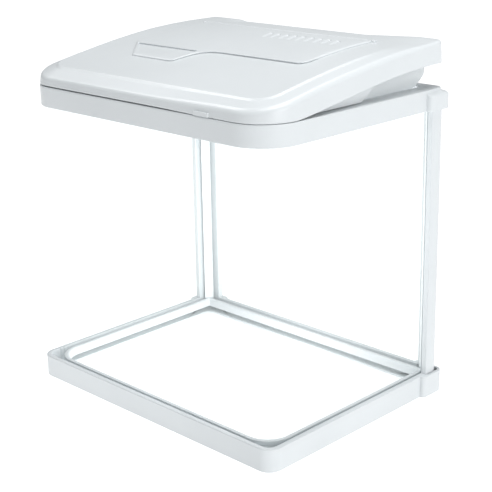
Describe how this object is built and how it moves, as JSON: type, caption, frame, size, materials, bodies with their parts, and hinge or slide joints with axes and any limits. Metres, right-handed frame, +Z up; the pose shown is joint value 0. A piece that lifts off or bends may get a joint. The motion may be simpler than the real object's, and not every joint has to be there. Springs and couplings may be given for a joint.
{
  "type": "nano aquarium",
  "caption": "White nano aquarium: bent-glass tank between plastic frames with rear corner posts, under a curved hinged hood with a finger-scooped access cover and vent slots.",
  "frame": {"origin": "middle of the underside, on the surface the bottom frame stands on", "axes": "+Z up, the tank's front faces -Y, +X to the viewer's right when looking at the front"},
  "size_m": [0.39, 0.288, 0.4071],
  "materials": {
    "white_plastic": "semi-gloss, very slightly textured",
    "inner_plastic": "satin",
    "tank_glass": "clear, polished",
    "lens_plastic": "frosted, smooth",
    "silicone": "smooth, translucent",
    "steel": "bright",
    "black_plastic": "satin",
    "led_board": "white solder mask",
    "filter_sponge": "open foam",
    "carbon_pad": "woven pad",
    "ceramic": "polished"
  },
  "bodies": {
    "tank": {"bottom_frame": "white_plastic", "top_frame": "white_plastic", "rear_post_left": "white_plastic", "rear_post_right": "white_plastic", "bent_glass": "tank_glass", "back_glass": "tank_glass", "floor_glass": "tank_glass", "inner_trim": "white_plastic", "floor_seal": "silicone", "corner_seal_left": "silicone", "corner_seal_right": "silicone", "hood_hinge_pin_left": "steel", "hood_hinge_pin_right": "steel"},
    "hood": {"hood_shell": "white_plastic", "hood_pan": "inner_plastic", "lamp_lens": "lens_plastic", "led_board": "led_board", "lamp_driver": "black_plastic", "filter_tray": "inner_plastic", "filter_sponge": "filter_sponge", "carbon_pad": "carbon_pad", "drip_plate": "inner_plastic", "spray_bar": "inner_plastic", "pump_body": "black_plastic", "pump_cover": "black_plastic", "pump_shaft": "ceramic", "pump_intake": "black_plastic", "pan_screw_1": "steel", "pan_screw_2": "steel", "pan_screw_3": "steel", "pan_screw_4": "steel", "switch_bezel": "black_plastic", "cable_gland": "black_plastic"},
    "access_cover": {"access_cover": "white_plastic"},
    "lamp_switch": {"lamp_switch": "black_plastic"},
    "pump_impeller": {"pump_impeller": "black_plastic"}
  },
  "joints": [
    {"name": "hood_hinge", "type": "hinge", "parent": "tank", "child": "hood", "pos_m": [0, 0.1335, 0.369], "axis": [-1, 0, 0], "range_deg": [0, 95]},
    {"name": "access_cover_hinge", "type": "hinge", "parent": "hood", "child": "access_cover", "pos_m": [0, 0.088, 0.40529], "axis": [-1, 0, 0], "range_deg": [0, 95]},
    {"name": "lamp_switch_rocker", "type": "hinge", "parent": "hood", "child": "lamp_switch", "pos_m": [-0.06, 0.1385, 0.391], "axis": [1, 0, 0], "range_deg": [-8, 8]},
    {"name": "pump_impeller_spin", "type": "hinge", "parent": "hood", "child": "pump_impeller", "pos_m": [0.14, 0.046, 0.37235], "axis": [1, 0, 0], "continuous": true}
  ]
}
